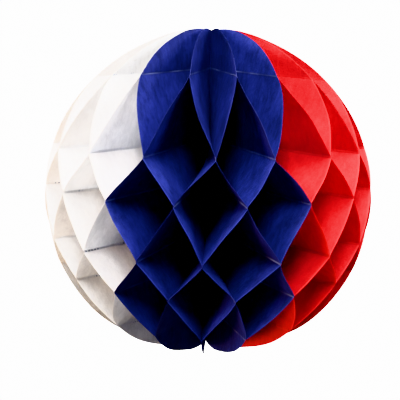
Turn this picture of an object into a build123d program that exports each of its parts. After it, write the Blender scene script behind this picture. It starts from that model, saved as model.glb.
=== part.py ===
"""A honeycomb ball of tissue paper, opened out round its spine.

Millimetres, +Z up along the spine, origin at the ball's centre. The front is -Y.

Thirty-six tissue sheets stand round the spine like the pages of a book opened through a full turn. Each is
a half disc that zigzags between two upright glue planes: it is stuck to one neighbour along every second
glue row, and to its other neighbour along the rows between. The first and the last sheet are stuck to two
half discs of card, the covers, which lie back to back in the seam plane at -X. Adhesive pads between the
covers hold the ball open, and a bead of glue along the spine binds the sheets' inner edges.
"""

import os
from math import cos, radians, sin, sqrt, tan

from build123d import *

# ---- the ball ----
BALL_RADIUS = 150.0  # rim of every sheet when the ball is open
SHEET_COUNT = 36
SHEET_THICKNESS = 0.2
COLOURS = ("white", "blue", "red")  # taken in turn, a block of sheets each
COLOUR_BLOCKS = 6

# ---- glue rows, from the top down: the height of each row's middle at the rim ----
GLUE_ROWS = (107.5, 48.5, 15.5, -27.5, -58.0, -100.5)
GLUE_STRIP = 5.0  # height of a glued strip
ROW_RISE = 0.09  # a row lies this share further from the ball's middle at the spine than at the rim

FREE_SWING = 0.05  # past the outer rows a sheet's rim swings this share of the pitch off its glue plane

# ---- spine ----
SPINE_RADIUS = 1.45  # of the glue bead
SPINE_END_STEP = 1.5  # the bead stops this far inside each pole
SPINE_GAP = 0.05  # from the bead to the sheets' inner edges

# ---- covers ----
COVER_THICKNESS = 0.4
COVER_RIM_STEP = 1.0  # the card stops this far inside the sheets' rim
COVER_INSET = 9.0  # from the spine's axis to the card's straight edge
END_SHEET_GAP = 0.3  # clearance that sets where the first and last sheets begin

# ---- hanging hole, through both covers ----
HOLE_RADIUS = 2.0
HOLE_FROM_EDGE = 5.0  # from the card's straight edge to the hole's centre
HOLE_FROM_RIM = 6.0  # from the card's rim straight down to the hole's centre

# ---- adhesive pads between the covers ----
PAD_THICKNESS = 0.1
PAD_WIDTH = 12.0
PAD_HEIGHT = 24.0
PAD_FROM_RIM = 14.0  # from the card's rim in to the pad's middle
PAD_LATITUDES = (-50.0, -17.0, 17.0, 50.0)  # degrees above the ball's middle

# ---- worked out from the sizes above ----
SEAM_ANGLE = 180.0  # the seam plane, in degrees from +X round to +Y
PITCH = 360.0 / SHEET_COUNT
SHEET_INSET = SPINE_RADIUS + SPINE_GAP
COVER_FACE = PAD_THICKNESS / 2 + COVER_THICKNESS  # from the seam plane to the face that a sheet is stuck to
END_SHEET_INSET = (COVER_FACE + SHEET_THICKNESS) / tan(radians(PITCH)) + END_SHEET_GAP
REACH = BALL_RADIUS * 1.03  # sheets are drawn out to here before the ball's rim is cut
COVER_RADIUS = BALL_RADIUS - COVER_RIM_STEP
HOLE_X = -(COVER_INSET + HOLE_FROM_EDGE)
HOLE_Z = sqrt(COVER_RADIUS**2 - HOLE_X**2) - HOLE_FROM_RIM


def row_height(rim_height, radius):
    """Height of a glue row that meets the rim at rim_height, at a distance from the spine."""
    rim = sqrt(BALL_RADIUS**2 - rim_height**2)
    return rim_height * (1 + ROW_RISE * (1 - radius / rim))


def section(angle, side, offset, heights, inset, swing=0.0):
    """The sheet's cross-section on the glue plane at an angle, as a thin upright quadrilateral.

    side is 1 where the sheet lies past the plane and -1 where it lies before it, and offset moves it that
    much further from the plane. heights are those of its inner and outer ends. The outer end swings away
    from the plane, about the inner end, by a share of the pitch.
    """
    out = Vector(cos(radians(angle)), sin(radians(angle)), 0)
    across = Vector(-sin(radians(angle)), cos(radians(angle)), 0) * side
    away = (REACH - inset) * tan(radians(PITCH * swing))
    corners = []
    for radius, height, depth in (
        (inset, heights[0], 0),
        (REACH, heights[1], away),
        (REACH, heights[1], away + SHEET_THICKNESS),
        (inset, heights[0], SHEET_THICKNESS),
    ):
        corners.append(out * radius + across * (offset + depth) + Vector(0, 0, height))
    if side < 0:
        corners = [corners[3], corners[2], corners[1], corners[0]]
    return Face(Wire.make_polygon(corners, close=True))


def sheet(index):
    """Tissue sheet number index, from 0, between glue planes index and index + 1."""
    angles = (SEAM_ANGLE + PITCH * index, SEAM_ANGLE + PITCH * (index + 1))
    offsets = (COVER_FACE if index == 0 else 0, COVER_FACE if index == SHEET_COUNT - 1 else 0)
    inset = END_SHEET_INSET if COVER_FACE in offsets else SHEET_INSET

    def across(which, heights, swing=0.0):
        return section(angles[which], 1 - 2 * which, offsets[which], heights, inset, swing)

    def along_row(rim_height, step):
        return [row_height(rim_height, radius) + step for radius in (inset, REACH)]

    sections = [across(index % 2, (REACH, REACH), FREE_SWING)]
    for number, rim_height in enumerate(GLUE_ROWS):
        which = (number + index) % 2
        for half in (GLUE_STRIP / 2, -GLUE_STRIP / 2):
            sections.append(across(which, along_row(rim_height, half)))
    sections.append(across(which, (-REACH, -REACH), FREE_SWING))
    return loft(sections, ruled=True) & Sphere(BALL_RADIUS)


def cover(side):
    """One card cover, a half disc with its hanging hole: side is -1 for the front one and 1 for the back one."""
    disc = Circle(COVER_RADIUS) & Pos(-COVER_INSET - COVER_RADIUS, 0) * Rectangle(
        2 * COVER_RADIUS, 2 * COVER_RADIUS
    )
    outline = disc - Pos(HOLE_X, HOLE_Z) * Circle(HOLE_RADIUS)
    card = extrude(outline, amount=COVER_THICKNESS)
    near_face = PAD_THICKNESS / 2 if side > 0 else -PAD_THICKNESS / 2 - COVER_THICKNESS
    return Pos(0, near_face + COVER_THICKNESS, 0) * Rot(90, 0, 0) * card


def adhesive_pads():
    """Double-sided pads between the covers, each turned to follow the rim."""
    pads = []
    for latitude in PAD_LATITUDES:
        out = COVER_RADIUS - PAD_FROM_RIM
        place = Pos(-out * cos(radians(latitude)), 0, out * sin(radians(latitude)))
        pads.append(place * Rot(0, latitude, 0) * Box(PAD_WIDTH, PAD_THICKNESS, PAD_HEIGHT))
    return Compound(pads)


def spine_glue():
    """The bead of glue along the spine."""
    return Cylinder(SPINE_RADIUS, 2 * (BALL_RADIUS - SPINE_END_STEP))


def sheet_name(index):
    """Node name of a sheet: its colour, and its number among the sheets of that colour."""
    colours = [COLOURS[i * COLOUR_BLOCKS // SHEET_COUNT % len(COLOURS)] for i in range(index + 1)]
    return f"{colours[-1]}_sheet_{colours.count(colours[-1]):02d}"


def main():
    nodes = {
        "front_cover": cover(-1),
        "back_cover": cover(1),
        "adhesive_pads": adhesive_pads(),
        "spine_glue": spine_glue(),
    }
    for index in range(SHEET_COUNT):
        nodes[sheet_name(index)] = sheet(index)
    os.makedirs("parts", exist_ok=True)
    for name, shape in nodes.items():
        export_step(shape, f"parts/{name}.step")
    print(f"{len(nodes)} nodes; the first and last sheets begin {END_SHEET_INSET:.2f} from the spine")
    print(f"hanging hole at x {HOLE_X:.2f}, z {HOLE_Z:.2f}")


main()
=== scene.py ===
"""The finish of a tissue honeycomb ball: folded sheets round a glued spine, between two card covers.

Metres, +Z up along the spine, -Y the front. Glue plane 0 is the seam, at -X, and the planes are numbered
from there past the front. Each sheet stands between two planes and is stuck to its neighbours where a glue
row crosses a plane.
"""

from math import cos, pi, radians, sin

import bpy
import numpy as np
from mathutils import Euler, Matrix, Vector


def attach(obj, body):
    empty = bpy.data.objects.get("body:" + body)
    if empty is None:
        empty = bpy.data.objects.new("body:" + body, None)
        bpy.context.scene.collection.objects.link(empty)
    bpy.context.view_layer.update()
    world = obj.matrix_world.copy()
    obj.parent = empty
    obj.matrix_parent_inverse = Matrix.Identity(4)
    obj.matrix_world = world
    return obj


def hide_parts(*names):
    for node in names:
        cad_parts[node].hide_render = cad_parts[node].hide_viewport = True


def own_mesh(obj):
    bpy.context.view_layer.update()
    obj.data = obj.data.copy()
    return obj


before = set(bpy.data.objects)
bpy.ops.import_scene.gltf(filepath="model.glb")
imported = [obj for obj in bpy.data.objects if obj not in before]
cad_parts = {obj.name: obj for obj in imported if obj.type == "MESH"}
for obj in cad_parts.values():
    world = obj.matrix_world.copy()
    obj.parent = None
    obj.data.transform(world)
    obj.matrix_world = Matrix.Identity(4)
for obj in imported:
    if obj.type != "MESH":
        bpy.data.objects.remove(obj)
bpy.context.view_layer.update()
MM = 0.001

# ---- the ball, as it is built ----
SHEETS = [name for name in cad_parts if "_sheet_" in name]
SHEET_COUNT = len(SHEETS)
COLOURS = ("white", "blue", "red")
COLOUR_BLOCKS = 6
PITCH = 360 / SHEET_COUNT
SEAM_ANGLE = 180
RADIUS = 150 * MM
GLUE_ROWS = [height * MM for height in (107.5, 48.5, 15.5, -27.5, -58.0, -100.5)]
GLUE_STRIP = 2 * MM  # height of a glue row
ROW_RISE = 0.09  # a row rises toward the spine by this share of its height
SPINE_REACH = 1.5 * MM  # where a sheet begins, in the glue bead
END_SHEET_REACH = 4 * MM  # where the first and the last sheet begin, beside the covers
COVER_FACE = 0.45 * MM  # from the seam to the outer face of a cover

# ---- how the tissue lies ----
TISSUE = 0.09 * MM
TISSUE_GAP = 0.07 * MM  # from a glue plane to the middle of a sheet that is stuck there
FREE_SWING = 0.05  # past the outer rows a sheet's rim swings this share of the pitch off its glue plane
PANEL_CURVE = 0.08  # how much of a panel's way across is curved, and the rest is straight
TOP_SWELL = 0.012  # the free edges over the top row stand this share proud of the ball
TOP_SWELL_AT = (80, 9)  # round this latitude, with this spread, in degrees
BOTTOM_TUCK = 0.022  # and those under the bottom row lie this share inside it
BOTTOM_TUCK_AT = (-68, 13)
TWIST = 13.0  # degrees of turn about the spine for each metre of height
TOP_LEAN = 2.5  # degrees of extra turn at the top pole
SEAM_HOLD = 4  # planes from the seam in which drift and twist set in
CORNER_PLAY = 0.5  # degrees by which chance moves a glued corner either way
SLACK = 0.9 * MM  # how far a sheet waves from side to side at the rim
SLACK_GROWTH = 1.5  # power of the radial share with which slack and bow grow toward the rim
RIPPLES = 5  # waves that are laid over one another on a sheet
RIPPLE_HEIGHT = 30 * MM
CREASE_ANGLE = 7  # degrees past which an edge of the tissue is a crease

# ---- how finely a sheet is drawn ----
PANEL_STEPS = 13
CAP_STEPS = 18
RADIAL_STEPS = 26
POLE_SHARE = 0.995  # of the way from an outer row to the pole, where the sheet ends
ROW_FADE = 5  # nearness to a row is gone a fifth of a panel from it

CORNER_SEED = 7
PANEL_SEED = 100
CAP_SEED = 500


def sheet_name(index):
    """Name of the sheet between glue planes index and index + 1."""
    blocks = [k * COLOUR_BLOCKS // SHEET_COUNT for k in range(index + 1)]
    colour = COLOURS[blocks[-1] % len(COLOURS)]
    number = sum(COLOURS[block % len(COLOURS)] == colour for block in blocks)
    return f"{colour}_sheet_{number:02d}"


def plane_angle(plane):
    """Direction of a glue plane, in degrees from +X round to +Y."""
    return SEAM_ANGLE + PITCH * plane


# The plane at the front. The next two tables count planes from it.
FRONT = SHEET_COUNT // 4

# Glue row and plane of the corners that have drifted, with the drift in degrees.
DRIFTS = {
    (0, -3): -2.0, (0, -1): 0.2, (0, 1): -0.6, (0, 3): -2.0,
    (1, 0): 1.4, (1, 2): -1.2,
    (2, -1): 0.5, (2, 1): 0.5,
    (3, 0): -1.0, (3, 2): 1.8,
    (4, -1): -1.2, (4, 1): -0.2,
    (5, -2): 0.2, (5, 0): -0.4, (5, 2): -2.0,
}

# How far the free edges over the top row bow out, by plane.
CAP_BOWS = {-3: -5.5 * MM, -1: -4 * MM, 1: -0.5 * MM, 3: 5 * MM, 17: 5 * MM, 19: -5 * MM}


def plane_hold(plane):
    """How freely a plane drifts: not at all at the seam, where the covers hold it."""
    return min(1, plane / SEAM_HOLD, (SHEET_COUNT - plane) / SEAM_HOLD)


def corner_drifts():
    """Drift in degrees of each row on each plane: a little chance, the known drifts and the twist."""
    chance = np.random.default_rng(CORNER_SEED)
    drift = chance.uniform(-CORNER_PLAY, CORNER_PLAY, (len(GLUE_ROWS), SHEET_COUNT + 1))
    for (row, offset), value in DRIFTS.items():
        drift[row, FRONT + offset] = value
    for row, height in enumerate(GLUE_ROWS):
        drift[row] += TWIST * height
    return drift * [plane_hold(plane) for plane in range(SHEET_COUNT + 1)]


def nearness(share):
    """Nearness to a glue row, up to a half, at a share of the way from it."""
    return 0.5 * max(0, 1 - share * ROW_FADE)


def panel_station(high, low, side, next_side, share):
    """A point of the profile between two rows, where the sheet crosses over in a soft curve."""
    bend = (1 - PANEL_CURVE) * share + PANEL_CURVE * share * share * (3 - 2 * share)
    near = max(nearness(share), nearness(1 - share))
    return high + (low - high) * share, side + (next_side - side) * bend, near, share


def cap_station(row_edge, pole, side, share):
    """A point of the profile past an outer row, on the way to a pole."""
    start = np.arcsin(row_edge / RADIUS)
    angle = start + (pole - start) * share * POLE_SHARE
    swing = FREE_SWING * (1 - 2 * side) * share
    return RADIUS * sin(angle), side + swing, nearness(share), share


def stations(index):
    """The sheet's profile from top to bottom, and the side it lies on at each row.

    Each point holds its height at the rim, its share of the way across, its nearness to a row and its share
    of the way from one row to the next. The way across is 0 on the sheet's own plane and 1 on the next.
    """
    sides = [(row + index) % 2 for row in range(len(GLUE_ROWS))]
    half = GLUE_STRIP / 2
    out = [
        cap_station(GLUE_ROWS[0] + half, pi / 2, sides[0], 1 - step / CAP_STEPS)
        for step in range(CAP_STEPS)
    ]
    for row, height in enumerate(GLUE_ROWS):
        out.append((height + half, sides[row], 0.5, 0))
        out.append((height, sides[row], 1.0, 0))
        if row + 1 < len(GLUE_ROWS):
            low = GLUE_ROWS[row + 1] + half
            out += [
                panel_station(height - half, low, sides[row], sides[row + 1], step / PANEL_STEPS)
                for step in range(PANEL_STEPS)
            ]
    out += [
        cap_station(GLUE_ROWS[-1] - half, -pi / 2, sides[-1], step / CAP_STEPS)
        for step in range(CAP_STEPS + 1)
    ]
    return np.array(out), sides


def bulge(latitude, middle, spread):
    """A soft rise to 1 round a latitude."""
    return np.exp(-(((latitude - middle) / spread) ** 2))


def rim_point(height):
    """Distance from the spine and height of the rim, where a perfect ball's rim would have that height."""
    latitude = np.degrees(np.arcsin(np.clip(height / RADIUS, -1, 1)))
    swell = TOP_SWELL * bulge(latitude, *TOP_SWELL_AT) - BOTTOM_TUCK * bulge(latitude, *BOTTOM_TUCK_AT)
    reach = np.sqrt(np.maximum(RADIUS**2 - height**2, 1e-9))
    return reach * (1 + swell), height * (1 + swell)


def row_rise(height):
    """How much further up or down a radial line lies at the spine than at the rim, as a share."""
    past = np.clip((np.abs(height) - GLUE_ROWS[0]) / (RADIUS - GLUE_ROWS[0]), 0, 1)
    return ROW_RISE * (1 - past**2) * (1 - past)


DRIFT = corner_drifts()


def drift_at(index, heights, shares):
    """Drift in degrees along the profile, taken from the corners above and below."""
    rows = np.array([-RADIUS, *GLUE_ROWS[::-1], RADIUS])
    ends = []
    for plane in (index, index + 1):
        corners = DRIFT[::-1, plane]
        top = corners[-1] + TOP_LEAN * plane_hold(plane)
        ends.append(np.interp(heights, rows, [corners[0], *corners, top]))
    return ends[0] * (1 - shares) + ends[1] * shares


def slack_waves(seed, radial, heights):
    """Soft waves over a sheet, about as many up as down."""
    chance = np.random.default_rng(seed)
    waves = np.zeros((len(heights), len(radial)))
    for ripple in range(RIPPLES):
        along, over, phase, size = chance.uniform((2, 1, 0, 0.4), (9, 5, 6.3, 1))
        waves += size * np.sin(along * radial[None, :] + over * heights[:, None] / RIPPLE_HEIGHT + phase)
    return waves


def sheet_grid(index):
    """Points of the sheet's middle, profile by radius, with nearness to a row and radial share."""
    profile, sides = stations(index)
    heights, shares, glued, between = profile.T
    radial = np.linspace(0, 1, RADIAL_STEPS + 1)
    rims, lifted = rim_point(heights)
    start = END_SHEET_REACH if index in (0, SHEET_COUNT - 1) else SPINE_REACH
    start = np.minimum(start, rims * 0.5)
    reach = start[:, None] + (rims - start)[:, None] * radial[None, :]
    rise = lifted[:, None] * (1 + row_rise(heights)[:, None] * (1 - radial[None, :]))
    drift = drift_at(index, heights, shares)
    angle = np.radians(plane_angle(index) + PITCH * shares + drift)[:, None]
    gap_low = COVER_FACE + TISSUE_GAP if index == 0 else TISSUE_GAP
    gap_high = COVER_FACE + TISSUE_GAP if index == SHEET_COUNT - 1 else TISSUE_GAP
    aside = (gap_low * (1 - shares) - gap_high * shares)[:, None]
    free = np.sin(pi * between)
    waves = slack_waves(PANEL_SEED + index, radial, heights)
    over_top = heights > GLUE_ROWS[0]
    under_bottom = heights < GLUE_ROWS[-1]
    for past, plane in ((over_top, index + sides[0]), (under_bottom, index + sides[-1])):
        # Past the outer rows the two sheets of a plane lie together and wave together.
        waves[past] = slack_waves(CAP_SEED + plane, radial, heights[past]) * plane_hold(plane)
    aside = aside + SLACK * 0.5 * waves * free[:, None] * radial[None, :] ** SLACK_GROWTH
    bow = CAP_BOWS.get(index + sides[0] - FRONT, 0) * free * over_top
    aside = aside + bow[:, None] * radial[None, :] ** SLACK_GROWTH
    x = reach * np.cos(angle) - aside * np.sin(angle)
    y = reach * np.sin(angle) + aside * np.cos(angle)
    return np.stack([x, y, rise], axis=-1), glued, radial


def skin_faces(rows, columns):
    """Faces of a closed skin: its front, its back and the rim that joins them."""
    count = rows * columns
    number = np.arange(count).reshape(rows, columns)
    a, b, c, d = number[:-1, :-1], number[:-1, 1:], number[1:, 1:], number[1:, :-1]
    front = np.stack([a, d, c, b], axis=-1).reshape(-1, 4)
    back = front[:, ::-1] + count
    edge = np.concatenate([number[:-1, 0], number[-1, :-1], number[:0:-1, -1], number[0, :0:-1]])
    following = np.roll(edge, -1)
    rim = np.stack([following, edge, edge + count, following + count], axis=-1)
    return np.concatenate([front, back, rim]).tolist()


def build_sheet(index):
    """The sheet as a closed skin as thick as the tissue."""
    grid, glued, radial = sheet_grid(index)
    rows, columns, _ = grid.shape
    along = np.gradient(grid, axis=0)
    outward = np.gradient(grid, axis=1)
    normal = np.cross(along, outward)
    normal /= np.maximum(np.linalg.norm(normal, axis=-1, keepdims=True), 1e-12)
    front = (grid + normal * TISSUE / 2).reshape(-1, 3)
    back = (grid - normal * TISSUE / 2).reshape(-1, 3)
    mesh = bpy.data.meshes.new(sheet_name(index) + "_tissue")
    mesh.from_pydata(np.concatenate([front, back]).tolist(), [], skin_faces(rows, columns))
    for label, values in (
        ("glued", np.repeat(glued[:, None], columns, axis=1)),
        ("reach", np.repeat(radial[None, :], rows, axis=0)),
    ):
        layer = mesh.attributes.new(label, "FLOAT", "POINT")
        layer.data.foreach_set("value", np.tile(values.reshape(-1), 2).astype(np.float32))
    mesh.polygons.foreach_set("use_smooth", [True] * len(mesh.polygons))
    mesh.set_sharp_from_angle(angle=radians(CREASE_ANGLE))
    piece = bpy.data.objects.new(sheet_name(index) + "_tissue", mesh)
    bpy.context.scene.collection.objects.link(piece)
    return piece


GLUE_DOT_WAVES = 314  # radians of wave from spine to rim, for a glue dot every 3 mm
RIM_HIGHLIGHT_SHARE = 0.985  # of the way out, past which a painted highlight lightens the rim


class Amount:
    """A number that changes over a surface. Sums with it add Math nodes."""

    def __init__(self, finish, socket):
        self.finish, self.socket = finish, socket

    def _sum(self, operation, *terms):
        node = self.finish.node("ShaderNodeMath", {"operation": operation}, dict(enumerate(terms)))
        return Amount(self.finish, node.outputs[0])

    def __add__(self, other):
        return self._sum("ADD", self, other)

    __radd__ = __add__

    def __sub__(self, other):
        return self._sum("SUBTRACT", self, other)

    def __rsub__(self, other):
        return self._sum("SUBTRACT", other, self)

    def __mul__(self, other):
        return self._sum("MULTIPLY", self, other)

    __rmul__ = __mul__

    def wave(self):
        """The sine of the number."""
        return self._sum("SINE", self)

    def held(self):
        """The same number, kept from 0 to 1."""
        return self._sum("MINIMUM", self._sum("MAXIMUM", self, 0.0), 1.0)


class Finish:
    """A material and what it is mixed from."""

    def __init__(self, name):
        self.material = bpy.data.materials.new(name)
        self.material.use_nodes = True
        self.tree = self.material.node_tree
        self.tree.nodes.clear()

    def node(self, kind, settings=None, sockets=None):
        """A node of a kind. Settings are set first, then each socket takes a value or a link."""
        node = self.tree.nodes.new(kind)
        for key, value in (settings or {}).items():
            if key == "stops":
                node.color_ramp.interpolation = "CONSTANT"
                while len(node.color_ramp.elements) < len(value):
                    node.color_ramp.elements.new(1)
                for stop, (place, colour) in zip(node.color_ramp.elements, value):
                    stop.position, stop.color = place, colour
            else:
                setattr(node, key, value)
        for key, value in (sockets or {}).items():
            self.put(node.inputs[key], value)
        return node

    def put(self, socket, value):
        """Gives a socket a value, or links it."""
        if isinstance(value, Amount):
            value = value.socket
        if isinstance(value, bpy.types.NodeSocket):
            self.tree.links.new(value, socket)
        elif isinstance(value, tuple) and len(value) == 3 and socket.type == "RGBA":
            socket.default_value = (*value, 1)
        else:
            socket.default_value = value

    def amount(self, kind, settings=None, sockets=None, output=0):
        return Amount(self, self.node(kind, settings, sockets).outputs[output])

    def place(self, stretch=(1, 1, 1)):
        """A point's place on its piece, with each direction stretched."""
        sockets = {0: self.node("ShaderNodeTexCoord").outputs["Object"], 1: stretch}
        return self.node("ShaderNodeVectorMath", {"operation": "MULTIPLY"}, sockets).outputs[0]

    def noise(self, scale, detail=3.0, roughness=0.55, stretch=(1, 1, 1)):
        sockets = {"Vector": self.place(stretch), "Scale": scale, "Detail": detail, "Roughness": roughness}
        return self.amount("ShaderNodeTexNoise", None, sockets)

    def layer(self, name):
        """A number kept on the mesh."""
        return self.amount("ShaderNodeAttribute", {"attribute_name": name}, output=2)

    def mix(self, share, first, second):
        """Colour that goes from the first to the second as the share goes from 0 to 1."""
        sockets = {0: share, 6: first, 7: second}
        return self.node("ShaderNodeMix", {"data_type": "RGBA"}, sockets).outputs[2]

    def bump(self, height, strength, distance):
        sockets = {"Height": height, "Strength": strength, "Distance": distance}
        return self.node("ShaderNodeBump", None, sockets).outputs[0]

    def finish(self, shader):
        self.node("ShaderNodeOutputMaterial", None, {"Surface": shader})
        return self.material


def tissue(name, lit, shade, glue, rim, line, glue_share, highlight_share, see_through, roughness):
    """Thin coloured tissue: long fibres, cloudy thickness and glue dots; painted shade along the glue rows,
    painted highlights on the creases and the rim.
    """
    f = Finish(name)
    clouds = f.noise(38, 4)
    fibres = f.noise(260, 5, 0.7, (1, 1, 0.28))
    specks = f.noise(900, 2, 0.6)
    glued = f.layer("glued")
    reach = f.layer("reach")
    body = ((clouds - 0.5) * 1.7 + (fibres - 0.5) * 2.2 + (specks - 0.5) * 0.6 + 0.5).held()
    colour = f.mix(body, shade, lit)
    # Painted shade: along the glue rows the colour darkens toward the shade tone, in soft patches.
    painted_row_shade = (glued * 0.6).held() * f.noise(25, 2)
    colour = f.mix(painted_row_shade, colour, shade)
    patches = ((f.noise(45, 2) - 0.42) * 6).held()
    # Painted highlight: along the crease at each glue row the colour goes toward the line tone, in patches.
    crease_highlight = ((glued - 0.55) * 4).held() * (0.35 + patches * 0.65) * highlight_share
    colour = f.mix(crease_highlight, colour, line)
    groups = ((f.noise(70, 1) - 0.52) * 9).held()
    dots = ((reach * GLUE_DOT_WAVES).wave() * 3 - 1.4 + f.noise(300, 1) * 2).held()
    glue_line = ((glued - 0.6) * 4).held() * dots * groups * glue_share
    colour = f.mix(glue_line, colour, glue)
    # Painted highlight: over the last part of the way out the colour goes toward the rim tone.
    edge = ((reach - RIM_HIGHLIGHT_SHARE) * 66).held()
    colour = f.mix(edge * 0.75, colour, rim)
    wrinkles = f.noise(60, 4, 0.6) * 0.7 + fibres * 0.25 + specks * 0.05
    normal = f.bump(wrinkles, 0.5, 0.0028)
    skin = f.node(
        "ShaderNodeBsdfPrincipled", None,
        {"Base Color": colour, "Roughness": roughness, "Specular IOR Level": 0.2, "Normal": normal},
    ).outputs[0]
    through = f.node("ShaderNodeBsdfTranslucent", None, {"Color": colour, "Normal": normal}).outputs[0]
    return f.finish(f.node("ShaderNodeMixShader", None, {0: see_through, 1: skin, 2: through}).outputs[0])


def card():
    """Grey-white board with flecks of fibre."""
    f = Finish("cover_card")
    flecks = f.noise(1400, 3, 0.7, (1, 1, 0.4))
    clouds = f.noise(60, 3)
    body = ((flecks - 0.5) * 1.6 + (clouds - 0.5) + 0.5).held()
    colour = f.mix(body, (0.62, 0.58, 0.5), (0.86, 0.84, 0.79))
    normal = f.bump(flecks, 0.3, 0.0003)
    sockets = {"Base Color": colour, "Roughness": 0.8, "Normal": normal}
    return f.finish(f.node("ShaderNodeBsdfPrincipled", None, sockets).outputs[0])


def adhesive(tone, roughness):
    """Soft adhesive, cloudy and a little glossy."""
    f = Finish("adhesive")
    clouds = f.noise(300, 3)
    colour = f.mix(clouds, tuple(part * 0.72 for part in tone), tone)
    normal = f.bump(clouds, 0.5, 0.0004)
    sockets = {"Base Color": colour, "Roughness": clouds * 0.2 + roughness, "Normal": normal}
    return f.finish(f.node("ShaderNodeBsdfPrincipled", None, sockets).outputs[0])


def dyed_glue(tones):
    """Dried glue along the spine, which has taken the dye of the sheets beside it."""
    f = Finish("dried_glue")
    stops = []
    for block in range(COLOUR_BLOCKS):
        tone = tones[COLOURS[block % len(COLOURS)]]
        stops.append((block / COLOUR_BLOCKS, (*tone, 1)))
    turn = f.node("ShaderNodeTexGradient", {"gradient_type": "RADIAL"}, {"Vector": f.place()}).outputs[1]
    colour = f.node("ShaderNodeValToRGB", {"stops": stops}, {"Fac": turn}).outputs[0]
    normal = f.bump(f.noise(300, 3), 0.5, 0.0004)
    sockets = {"Base Color": colour, "Roughness": 0.4, "Normal": normal}
    return f.finish(f.node("ShaderNodeBsdfPrincipled", None, sockets).outputs[0])


# For each tissue: line is the tone of the painted crease highlight, rim the tone of the painted rim
# highlight, and shade also the tone of the painted shade along the glue rows.
TISSUES = {
    "white": tissue(
        "white_tissue", lit=(0.97, 0.972, 0.977), shade=(0.79, 0.792, 0.798), glue=(0.1, 0.13, 0.26),
        rim=(0.97, 0.96, 0.95), line=(0.9, 0.9, 0.92), glue_share=0.9, highlight_share=0.3, see_through=0.5,
        roughness=0.8,
    ),
    "blue": tissue(
        "blue_tissue", lit=(0.0255, 0.034, 0.19), shade=(0.009, 0.0125, 0.07), glue=(0.04, 0.055, 0.24),
        rim=(0.035, 0.045, 0.2), line=(0.16, 0.19, 0.42), glue_share=0.3, highlight_share=0.55, see_through=0.03,
        roughness=0.55,
    ),
    "red": tissue(
        "red_tissue", lit=(0.78, 0.024, 0.026), shade=(0.64, 0.018, 0.02), glue=(0.6, 0.006, 0.008),
        rim=(0.95, 0.07, 0.07), line=(0.95, 0.06, 0.06), glue_share=0.3, highlight_share=0.4, see_through=0.48,
        roughness=0.65,
    ),
}

for index in range(SHEET_COUNT):
    name = sheet_name(index)
    colour = name.split("_")[0]
    piece = build_sheet(index)
    piece.data.materials.append(TISSUES[colour])
    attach(piece, name)
    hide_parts(name)
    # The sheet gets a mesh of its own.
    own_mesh(piece)

SPINE_TONES = {"white": (0.8, 0.78, 0.74), "blue": (0.01, 0.018, 0.16), "red": (0.5, 0.01, 0.01)}
for node, material in (
    ("front_cover", card()),
    ("back_cover", card()),
    ("adhesive_pads", adhesive((0.82, 0.8, 0.72), 0.35)),
    ("spine_glue", dyed_glue(SPINE_TONES)),
):
    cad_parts[node].data.materials.clear()
    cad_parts[node].data.materials.append(material)

# ---- the stage ----
FLOOR = -0.55
STAGE_GLOW = 6.0
STAGE_SEEN = 0.97  # how much of the glow the camera sees, in place of the floor's own skin


def stage():
    """A pale floor that sweeps up into a backdrop."""
    f = Finish("pale_stage")
    tone = f.mix(f.noise(4, 2), (0.05, 0.05, 0.05), (0.06, 0.06, 0.06))
    skin = f.node("ShaderNodeBsdfPrincipled", None, {"Base Color": tone, "Roughness": 0.9}).outputs[0]
    glow = f.node("ShaderNodeEmission", None, {"Color": (1, 1, 1), "Strength": STAGE_GLOW}).outputs[0]
    seen = f.amount("ShaderNodeLightPath")
    shader = f.node("ShaderNodeMixShader", None, {0: seen * STAGE_SEEN, 1: skin, 2: glow}).outputs[0]
    material = f.finish(shader)
    sides = 96
    points, faces = [], []
    rings = [0.0, 1.2, 2.4, 3.2, 3.9, 4.4, 4.7, 4.8, 4.8, 4.8]
    lifts = [0.0, 0.0, 0.0, 0.05, 0.25, 0.6, 1.1, 1.8, 3.0, 4.5]
    for ring, lift in zip(rings, lifts):
        for side in range(sides):
            turn = 2 * pi * side / sides
            points.append((ring * cos(turn), ring * sin(turn), FLOOR + lift))
    for ring in range(len(rings) - 1):
        inner, outer = ring * sides, (ring + 1) * sides
        for side in range(sides):
            after = (side + 1) % sides
            faces.append((inner + side, inner + after, outer + after, outer + side))
    mesh = bpy.data.meshes.new("floor")
    mesh.from_pydata(points, [], faces)
    mesh.materials.append(material)
    floor = bpy.data.objects.new("floor", mesh)
    bpy.context.scene.collection.objects.link(floor)


stage()


BALL_MIDDLE = Vector((0, 0, 0))


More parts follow.
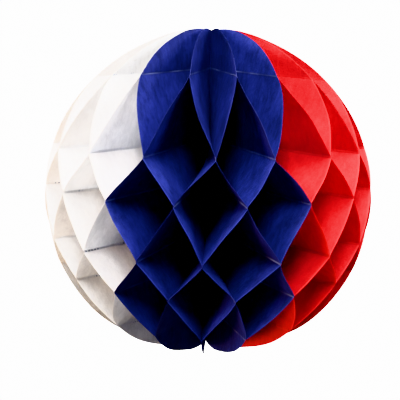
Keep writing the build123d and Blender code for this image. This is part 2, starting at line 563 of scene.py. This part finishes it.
def area_light(name, place, size, power, colour):
    """A soft square light that faces the middle of the ball."""
    lamp = bpy.data.lights.new(name, "AREA")
    lamp.energy, lamp.size, lamp.color = power, size, colour
    light = bpy.data.objects.new(name, lamp)
    light.location = place
    light.rotation_euler = (BALL_MIDDLE - Vector(place)).to_track_quat("-Z", "Y").to_euler()
    bpy.context.scene.collection.objects.link(light)


area_light("top_light", (0.0, -0.5, 2.2), 0.9, 110, (1, 1, 1))
area_light("front_light", (-0.1, -1.5, 1.8), 0.7, 85, (1, 1, 1))
area_light("key_light", (1.5, -0.9, 0.9), 0.6, 34, (1, 1, 1))
area_light("left_light", (-1.5, -0.6, 0.05), 1.0, 30, (1, 0.98, 0.96))
area_light("right_light", (1.5, 0.1, 0.25), 1.0, 16, (1, 1, 1))
area_light("warm_light", (-0.95, -0.75, -0.36), 0.3, 17, (1, 0.64, 0.36))


def sky():
    """Soft light from all round, bright overhead and dim below."""
    world = bpy.data.worlds.new("studio")
    world.use_nodes = True
    tree = world.node_tree
    place = tree.nodes.new("ShaderNodeTexCoord")
    split = tree.nodes.new("ShaderNodeSeparateXYZ")
    grade = tree.nodes.new("ShaderNodeMapRange")
    grade.inputs["From Min"].default_value = -0.1
    grade.inputs["From Max"].default_value = 1.0
    grade.inputs["To Min"].default_value = 0.05
    grade.inputs["To Max"].default_value = 1.2
    tree.links.new(place.outputs["Generated"], split.inputs[0])
    tree.links.new(split.outputs["Z"], grade.inputs["Value"])
    tree.links.new(grade.outputs[0], tree.nodes["Background"].inputs["Strength"])
    bpy.context.scene.world = world


sky()
bpy.context.scene.view_settings.view_transform = "Khronos PBR Neutral"

# ---- the camera ----
CAMERA_BACK = 3.573 * RADIUS
CAMERA_UP = 0.625 * RADIUS
CAMERA_DIP = 10.05  # degrees below the level
CAMERA_ROLL = 1.04
camera_data = bpy.data.cameras.new("camera")
camera_data.lens = 51.25
camera_data.sensor_width = 36
camera_data.shift_x = -0.0204
camera_data.shift_y = -0.0131
camera = bpy.data.objects.new("camera", camera_data)
camera.location = (0, -CAMERA_BACK, CAMERA_UP)
dip = Euler((radians(90 - CAMERA_DIP), 0, 0)).to_matrix()
roll = Euler((0, 0, radians(CAMERA_ROLL))).to_matrix()
camera.rotation_euler = (dip @ roll).to_euler()
bpy.context.scene.collection.objects.link(camera)
bpy.context.scene.camera = camera
